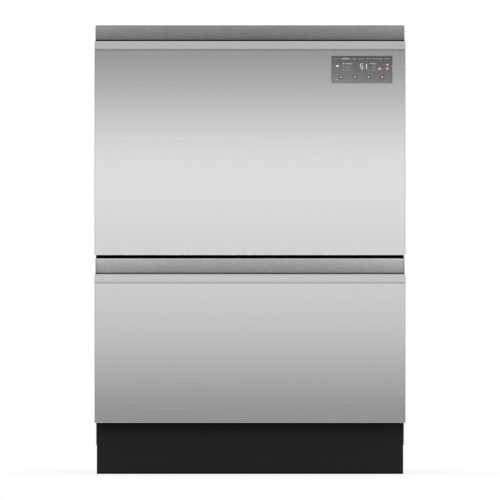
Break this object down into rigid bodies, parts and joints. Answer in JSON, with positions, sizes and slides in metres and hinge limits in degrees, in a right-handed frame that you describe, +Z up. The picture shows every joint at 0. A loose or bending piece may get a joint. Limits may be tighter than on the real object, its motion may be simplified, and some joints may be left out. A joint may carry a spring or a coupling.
{
  "type": "double-drawer dishwasher",
  "caption": "Dishwasher with stacked pull-out wash drawers, brushed steel fronts with leaning lips as handles, a touch panel, and a black kick strip.",
  "frame": {"origin": "middle of the footprint at floor level", "axes": "+Z up, the front faces -Y, +X to the right seen from the front"},
  "size_m": [0.599, 0.573, 0.865],
  "materials": {
    "stainless": "horizontally brushed stainless sheet with a clear satin sheen",
    "scoop_steel": "brushed steel strip, darker than the face",
    "galvanised": "zinc-coated sheet",
    "rail_steel": "bright zinc-plated rolled steel",
    "black_paint": "matt black paint",
    "grey_plastic": "moulded polypropylene, mid grey",
    "tub_plastic": "moulded polypropylene, pale grey",
    "dark_plastic": "moulded polypropylene, charcoal",
    "foot_plastic": "black glass-filled nylon",
    "motor_housing": "black moulded housing round a wound motor",
    "coated_wire": "nylon-coated steel wire, grey",
    "rubber": "black elastomer seal",
    "hose_rubber": "convoluted grey-black hose",
    "panel_glass": "tinted gloss touch panel"
  },
  "bodies": {
    "chassis": {"right_side_panel": "galvanised", "left_side_panel": "galvanised", "back_panel": "galvanised", "top_panel": "galvanised", "base_tray": "dark_plastic", "kick_strip": "black_paint", "water_inlet_valve": "tub_plastic", "upper_right_cabinet_rail": "rail_steel", "upper_left_cabinet_rail": "rail_steel", "upper_right_lid_lift": "dark_plastic", "upper_left_lid_lift": "dark_plastic", "upper_drain_hose": "hose_rubber", "lower_right_cabinet_rail": "rail_steel", "lower_left_cabinet_rail": "rail_steel", "lower_right_lid_lift": "dark_plastic", "lower_left_lid_lift": "dark_plastic", "lower_drain_hose": "hose_rubber"},
    "upper_drawer": {"upper_front_panel": "stainless", "control_panel": "panel_glass", "upper_handle_scoop": "scoop_steel", "upper_front_casing": "grey_plastic", "upper_tub": "tub_plastic", "upper_wash_motor": "motor_housing", "upper_filter_plate": "grey_plastic", "upper_dispenser": "tub_plastic", "upper_basket": "coated_wire", "upper_cutlery_basket": "dark_plastic", "upper_right_drawer_rail": "rail_steel", "upper_left_drawer_rail": "rail_steel"},
    "upper_right_middle_rail": {"upper_right_middle_rail": "rail_steel"},
    "upper_left_middle_rail": {"upper_left_middle_rail": "rail_steel"},
    "upper_lid": {"upper_lid": "grey_plastic", "upper_lid_seal": "rubber"},
    "upper_spray_arm": {"upper_spray_arm": "grey_plastic"},
    "upper_dispenser_door": {"upper_dispenser_door": "grey_plastic"},
    "upper_right_cup_rack": {"upper_right_cup_rack": "coated_wire"},
    "upper_left_cup_rack": {"upper_left_cup_rack": "coated_wire"},
    "lower_drawer": {"lower_front_panel": "stainless", "lower_handle_scoop": "scoop_steel", "lower_front_casing": "grey_plastic", "lower_tub": "tub_plastic", "lower_wash_motor": "motor_housing", "lower_filter_plate": "grey_plastic", "lower_dispenser": "tub_plastic", "lower_basket": "coated_wire", "lower_cutlery_basket": "dark_plastic", "lower_right_drawer_rail": "rail_steel", "lower_left_drawer_rail": "rail_steel"},
    "lower_right_middle_rail": {"lower_right_middle_rail": "rail_steel"},
    "lower_left_middle_rail": {"lower_left_middle_rail": "rail_steel"},
    "lower_lid": {"lower_lid": "grey_plastic", "lower_lid_seal": "rubber"},
    "lower_spray_arm": {"lower_spray_arm": "grey_plastic"},
    "lower_dispenser_door": {"lower_dispenser_door": "grey_plastic"},
    "lower_right_cup_rack": {"lower_right_cup_rack": "coated_wire"},
    "lower_left_cup_rack": {"lower_left_cup_rack": "coated_wire"},
    "foot_front_right": {"foot_front_right": "foot_plastic"},
    "foot_front_left": {"foot_front_left": "foot_plastic"},
    "foot_rear_right": {"foot_rear_right": "foot_plastic"},
    "foot_rear_left": {"foot_rear_left": "foot_plastic"}
  },
  "joints": [
    {"name": "upper_drawer_slide", "type": "slide", "parent": "chassis", "child": "upper_drawer", "axis": [0, -1, 0], "range_m": [0, 0.49], "deforming": ["upper_drain_hose"]},
    {"name": "upper_right_middle_rail_slide", "type": "slide", "parent": "chassis", "child": "upper_right_middle_rail", "axis": [0, -1, 0], "range_m": [0, 0.245]},
    {"name": "upper_left_middle_rail_slide", "type": "slide", "parent": "chassis", "child": "upper_left_middle_rail", "axis": [0, -1, 0], "range_m": [0, 0.245]},
    {"name": "upper_lid_lift", "type": "slide", "parent": "chassis", "child": "upper_lid", "axis": [0, 0, 1], "range_m": [0, 0.014]},
    {"name": "upper_spray_arm_spin", "type": "hinge", "parent": "upper_drawer", "child": "upper_spray_arm", "pos_m": [0, 0.0195, 0.5565], "axis": [0, 0, 1], "continuous": true},
    {"name": "upper_dispenser_door_hinge", "type": "hinge", "parent": "upper_drawer", "child": "upper_dispenser_door", "pos_m": [-0.07, -0.1845, 0.744], "axis": [0, 0, 1], "range_deg": [0, 100]},
    {"name": "upper_right_cup_rack_hinge", "type": "hinge", "parent": "upper_drawer", "child": "upper_right_cup_rack", "pos_m": [0.2365, 0.0185, 0.7055], "axis": [0, 1, 0], "range_deg": [0, 85]},
    {"name": "upper_left_cup_rack_hinge", "type": "hinge", "parent": "upper_drawer", "child": "upper_left_cup_rack", "pos_m": [-0.2365, 0.0185, 0.7055], "axis": [0, -1, 0], "range_deg": [0, 85]},
    {"name": "lower_drawer_slide", "type": "slide", "parent": "chassis", "child": "lower_drawer", "axis": [0, -1, 0], "range_m": [0, 0.49], "deforming": ["lower_drain_hose"]},
    {"name": "lower_right_middle_rail_slide", "type": "slide", "parent": "chassis", "child": "lower_right_middle_rail", "axis": [0, -1, 0], "range_m": [0, 0.245]},
    {"name": "lower_left_middle_rail_slide", "type": "slide", "parent": "chassis", "child": "lower_left_middle_rail", "axis": [0, -1, 0], "range_m": [0, 0.245]},
    {"name": "lower_lid_lift", "type": "slide", "parent": "chassis", "child": "lower_lid", "axis": [0, 0, 1], "range_m": [0, 0.014]},
    {"name": "lower_spray_arm_spin", "type": "hinge", "parent": "lower_drawer", "child": "lower_spray_arm", "pos_m": [0, 0.0195, 0.1745], "axis": [0, 0, 1], "continuous": true},
    {"name": "lower_dispenser_door_hinge", "type": "hinge", "parent": "lower_drawer", "child": "lower_dispenser_door", "pos_m": [-0.07, -0.1845, 0.362], "axis": [0, 0, 1], "range_deg": [0, 100]},
    {"name": "lower_right_cup_rack_hinge", "type": "hinge", "parent": "lower_drawer", "child": "lower_right_cup_rack", "pos_m": [0.2365, 0.0185, 0.3235], "axis": [0, 1, 0], "range_deg": [0, 85]},
    {"name": "lower_left_cup_rack_hinge", "type": "hinge", "parent": "lower_drawer", "child": "lower_left_cup_rack", "pos_m": [-0.2365, 0.0185, 0.3235], "axis": [0, -1, 0], "range_deg": [0, 85]},
    {"name": "foot_front_right_thread", "type": "slide", "parent": "chassis", "child": "foot_front_right", "axis": [0, 0, 1], "range_m": [-0.015, 0.045]},
    {"name": "foot_front_left_thread", "type": "slide", "parent": "chassis", "child": "foot_front_left", "axis": [0, 0, 1], "range_m": [-0.015, 0.045]},
    {"name": "foot_rear_right_thread", "type": "slide", "parent": "chassis", "child": "foot_rear_right", "axis": [0, 0, 1], "range_m": [-0.015, 0.045]},
    {"name": "foot_rear_left_thread", "type": "slide", "parent": "chassis", "child": "foot_rear_left", "axis": [0, 0, 1], "range_m": [-0.015, 0.045]}
  ],
  "couplings": [
    {"joint": "upper_right_middle_rail_slide", "follows": "upper_drawer_slide", "ratio": 0.5},
    {"joint": "upper_left_middle_rail_slide", "follows": "upper_drawer_slide", "ratio": 0.5},
    {"joint": "lower_right_middle_rail_slide", "follows": "lower_drawer_slide", "ratio": 0.5},
    {"joint": "lower_left_middle_rail_slide", "follows": "lower_drawer_slide", "ratio": 0.5}
  ]
}
